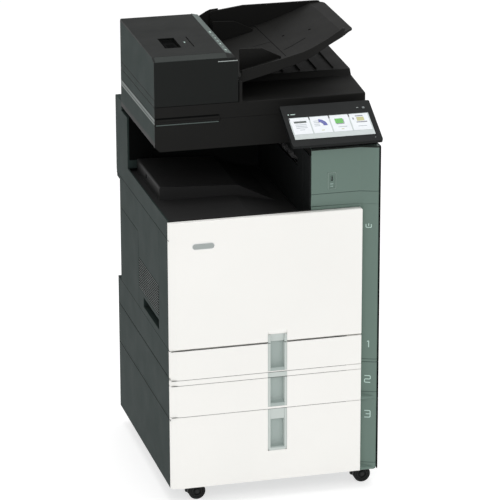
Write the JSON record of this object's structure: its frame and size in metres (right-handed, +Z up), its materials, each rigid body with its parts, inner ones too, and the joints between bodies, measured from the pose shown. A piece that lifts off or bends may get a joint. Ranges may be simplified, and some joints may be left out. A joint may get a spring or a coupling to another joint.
{
  "type": "photocopier",
  "caption": "Floor-standing colour photocopier with paper drawers, an output space, a sheet-fed scanner and a tilted touch panel.",
  "frame": {"origin": "on the floor, under the middle of the machine's outer box", "axes": "+X to the viewer's right, +Y to the back, +Z up"},
  "size_m": [0.615, 0.703, 1.3188],
  "materials": {
    "belt_film": "smooth dark film belt",
    "bezel_black": "smooth dark plastic",
    "bin_plastic": "moulded dark plastic",
    "black_plastic": "textured black plastic",
    "button_grey": "smooth",
    "caster_plastic": "black nylon",
    "clear_glass": "polished",
    "cover_grey": "fine-textured dark grey-green plastic",
    "drum_unit": "moulded plastic with a coated drum",
    "feeder_grey": "satin dark grey plastic",
    "frame_steel": "zinc-plated sheet steel",
    "fuser_case": "grey coated steel",
    "green_panel": "satin moulded grey-green",
    "guide_plastic": "moulded green-grey plastic",
    "inlet_black": "moulded black plastic with steel contacts",
    "laser_case": "cast, unpainted",
    "lift_steel": "plain steel plate",
    "pad_white": "soft white foam pad",
    "roller_rubber": "grey rubber on a steel shaft",
    "screen": "lit screen behind glass",
    "side_grey": "fine-textured dark grey-green paint",
    "toner_plastic": "moulded plastic with a coloured cap",
    "wheel_rubber": "black tread",
    "white_panel": "satin moulded white"
  },
  "bodies": {
    "machine": {"cabinet_shell": "side_grey", "cabinet_strip": "green_panel", "tray_2_shell": "side_grey", "tray_2_strip": "green_panel", "tray_2_front_rail": "white_panel", "main_frame": "frame_steel", "left_cover": "cover_grey", "left_upper_cover": "cover_grey", "right_cover": "cover_grey", "rear_cover": "cover_grey", "column_cover": "green_panel", "main_strip": "green_panel", "bin_liner": "black_plastic", "output_tray": "black_plastic", "toner_cartridges": "toner_plastic", "imaging_units": "drum_unit", "transfer_belt_unit": "belt_film", "laser_unit": "laser_case", "fuser": "fuser_case", "power_inlet": "inlet_black", "scanner_housing": "black_plastic", "platen_glass": "clear_glass"},
    "tray_1": {"tray_1_front": "white_panel", "tray_1_bin": "bin_plastic"},
    "tray_1_lift": {"tray_1_lift_plate": "lift_steel"},
    "tray_1_front_guide": {"tray_1_front_guide": "guide_plastic"},
    "tray_1_rear_guide": {"tray_1_rear_guide": "guide_plastic"},
    "tray_1_end_guide": {"tray_1_end_guide": "guide_plastic"},
    "tray_2": {"tray_2_front": "white_panel", "tray_2_bin": "bin_plastic"},
    "tray_2_lift": {"tray_2_lift_plate": "lift_steel"},
    "tray_2_front_guide": {"tray_2_front_guide": "guide_plastic"},
    "tray_2_rear_guide": {"tray_2_rear_guide": "guide_plastic"},
    "tray_3": {"tray_3_front": "white_panel", "tray_3_bin": "bin_plastic"},
    "tray_3_lift": {"tray_3_lift_plates": "lift_steel"},
    "front_door": {"front_door": "white_panel"},
    "right_door": {"right_door": "cover_grey"},
    "bypass_tray": {"bypass_tray": "cover_grey"},
    "exit_roller": {"exit_roller": "roller_rubber"},
    "power_switch": {"power_switch": "inlet_black"},
    "scan_carriage": {"scan_carriage": "bezel_black"},
    "document_cover": {"document_cover": "black_plastic", "platen_pad": "pad_white"},
    "adf_cover": {"adf_cover": "feeder_grey"},
    "input_tray": {"input_tray": "black_plastic"},
    "adf_guide_front": {"adf_guide_front": "black_plastic"},
    "adf_guide_rear": {"adf_guide_rear": "black_plastic"},
    "adf_roller": {"adf_roller": "roller_rubber"},
    "panel": {"panel_housing": "bezel_black", "touch_screen": "screen"},
    "power_button": {"power_button": "button_grey"},
    "fork_front_left": {"caster_fork_front_left": "caster_plastic"},
    "wheels_front_left": {"caster_wheels_front_left": "wheel_rubber"},
    "fork_front_right": {"caster_fork_front_right": "caster_plastic"},
    "wheels_front_right": {"caster_wheels_front_right": "wheel_rubber"},
    "fork_rear_left": {"caster_fork_rear_left": "caster_plastic"},
    "wheels_rear_left": {"caster_wheels_rear_left": "wheel_rubber"},
    "fork_rear_right": {"caster_fork_rear_right": "caster_plastic"},
    "wheels_rear_right": {"caster_wheels_rear_right": "wheel_rubber"}
  },
  "joints": [
    {"name": "caster_swivel_front_left", "type": "hinge", "parent": "machine", "child": "fork_front_left", "pos_m": [-0.248, -0.2715, 0.054], "axis": [0, 0, 1], "continuous": true},
    {"name": "caster_spin_front_left", "type": "hinge", "parent": "fork_front_left", "child": "wheels_front_left", "pos_m": [-0.223, -0.2715, 0.025], "axis": [0, 1, 0], "continuous": true},
    {"name": "caster_swivel_front_right", "type": "hinge", "parent": "machine", "child": "fork_front_right", "pos_m": [0.248, -0.2715, 0.054], "axis": [0, 0, 1], "continuous": true},
    {"name": "caster_spin_front_right", "type": "hinge", "parent": "fork_front_right", "child": "wheels_front_right", "pos_m": [0.273, -0.2715, 0.025], "axis": [0, 1, 0], "continuous": true},
    {"name": "caster_swivel_rear_left", "type": "hinge", "parent": "machine", "child": "fork_rear_left", "pos_m": [-0.248, 0.29, 0.054], "axis": [0, 0, 1], "continuous": true},
    {"name": "caster_spin_rear_left", "type": "hinge", "parent": "fork_rear_left", "child": "wheels_rear_left", "pos_m": [-0.223, 0.29, 0.025], "axis": [0, 1, 0], "continuous": true},
    {"name": "caster_swivel_rear_right", "type": "hinge", "parent": "machine", "child": "fork_rear_right", "pos_m": [0.248, 0.29, 0.054], "axis": [0, 0, 1], "continuous": true},
    {"name": "caster_spin_rear_right", "type": "hinge", "parent": "fork_rear_right", "child": "wheels_rear_right", "pos_m": [0.273, 0.29, 0.025], "axis": [0, 1, 0], "continuous": true},
    {"name": "tray_1_slide", "type": "slide", "parent": "machine", "child": "tray_1", "axis": [0, -1, 0], "range_m": [0, 0.45]},
    {"name": "tray_1_lift", "type": "slide", "parent": "tray_1", "child": "tray_1_lift", "axis": [0, 0, 1], "range_m": [0, 0.05]},
    {"name": "tray_1_front_guide_slide", "type": "slide", "parent": "tray_1", "child": "tray_1_front_guide", "axis": [0, 1, 0], "range_m": [0, 0.08]},
    {"name": "tray_1_rear_guide_slide", "type": "slide", "parent": "tray_1", "child": "tray_1_rear_guide", "axis": [0, -1, 0], "range_m": [0, 0.08]},
    {"name": "tray_1_end_guide_slide", "type": "slide", "parent": "tray_1", "child": "tray_1_end_guide", "axis": [1, 0, 0], "range_m": [0, 0.12]},
    {"name": "tray_2_slide", "type": "slide", "parent": "machine", "child": "tray_2", "axis": [0, -1, 0], "range_m": [0, 0.45]},
    {"name": "tray_2_lift", "type": "slide", "parent": "tray_2", "child": "tray_2_lift", "axis": [0, 0, 1], "range_m": [0, 0.055]},
    {"name": "tray_2_front_guide_slide", "type": "slide", "parent": "tray_2", "child": "tray_2_front_guide", "axis": [0, 1, 0], "range_m": [0, 0.08]},
    {"name": "tray_2_rear_guide_slide", "type": "slide", "parent": "tray_2", "child": "tray_2_rear_guide", "axis": [0, -1, 0], "range_m": [0, 0.08]},
    {"name": "tray_3_slide", "type": "slide", "parent": "machine", "child": "tray_3", "axis": [0, -1, 0], "range_m": [0, 0.45]},
    {"name": "tray_3_lift", "type": "slide", "parent": "tray_3", "child": "tray_3_lift", "axis": [0, 0, 1], "range_m": [0, 0.16]},
    {"name": "front_door_hinge", "type": "hinge", "parent": "machine", "child": "front_door", "pos_m": [0, -0.3235, 0.4836], "axis": [1, 0, 0], "range_deg": [0, 90]},
    {"name": "right_door_hinge", "type": "hinge", "parent": "machine", "child": "right_door", "pos_m": [0.3015, 0.188, 0.66], "axis": [0, 0, 1], "range_deg": [0, 85]},
    {"name": "bypass_tray_hinge", "type": "hinge", "parent": "right_door", "child": "bypass_tray", "pos_m": [0.304, -0.02, 0.5635], "axis": [0, 1, 0], "range_deg": [0, 75]},
    {"name": "exit_roller_spin", "type": "hinge", "parent": "machine", "child": "exit_roller", "pos_m": [0.114, 0, 0.962], "axis": [0, 1, 0], "continuous": true},
    {"name": "power_switch_rock", "type": "hinge", "parent": "machine", "child": "power_switch", "pos_m": [0.238, 0.3375, 0.43], "axis": [1, 0, 0], "range_deg": [0, 18]},
    {"name": "scan_carriage_slide", "type": "slide", "parent": "machine", "child": "scan_carriage", "axis": [1, 0, 0], "range_m": [0, 0.43]},
    {"name": "document_cover_hinge", "type": "hinge", "parent": "machine", "child": "document_cover", "pos_m": [0, 0.278, 1.106], "axis": [-1, 0, 0], "range_deg": [0, 60]},
    {"name": "adf_cover_hinge", "type": "hinge", "parent": "document_cover", "child": "adf_cover", "pos_m": [-0.3, 0.05, 1.18], "axis": [0, -1, 0], "range_deg": [0, 55]},
    {"name": "input_tray_hinge", "type": "hinge", "parent": "document_cover", "child": "input_tray", "pos_m": [-0.066, 0.05, 1.2], "axis": [0, -1, 0], "range_deg": [0, 12]},
    {"name": "adf_guide_front_slide", "type": "slide", "parent": "input_tray", "child": "adf_guide_front", "axis": [0, 1, 0], "range_m": [0, 0.07]},
    {"name": "adf_guide_rear_slide", "type": "slide", "parent": "input_tray", "child": "adf_guide_rear", "axis": [0, -1, 0], "range_m": [0, 0.07]},
    {"name": "adf_roller_spin", "type": "hinge", "parent": "document_cover", "child": "adf_roller", "pos_m": [-0.112, 0.05, 1.232], "axis": [0, 1, 0], "continuous": true},
    {"name": "panel_tilt", "type": "hinge", "parent": "machine", "child": "panel", "pos_m": [0.2, -0.214, 1.09], "axis": [-1, 0, 0], "range_deg": [0, 20]},
    {"name": "power_button_press", "type": "slide", "parent": "panel", "child": "power_button", "axis": [0, 0.4648, -0.8854], "range_m": [0, 0.0015], "stiffness_N_per_m": 500}
  ],
  "couplings": [
    {"joint": "tray_1_rear_guide_slide", "follows": "tray_1_front_guide_slide", "ratio": 1},
    {"joint": "tray_2_rear_guide_slide", "follows": "tray_2_front_guide_slide", "ratio": 1},
    {"joint": "adf_guide_rear_slide", "follows": "adf_guide_front_slide", "ratio": 1}
  ]
}
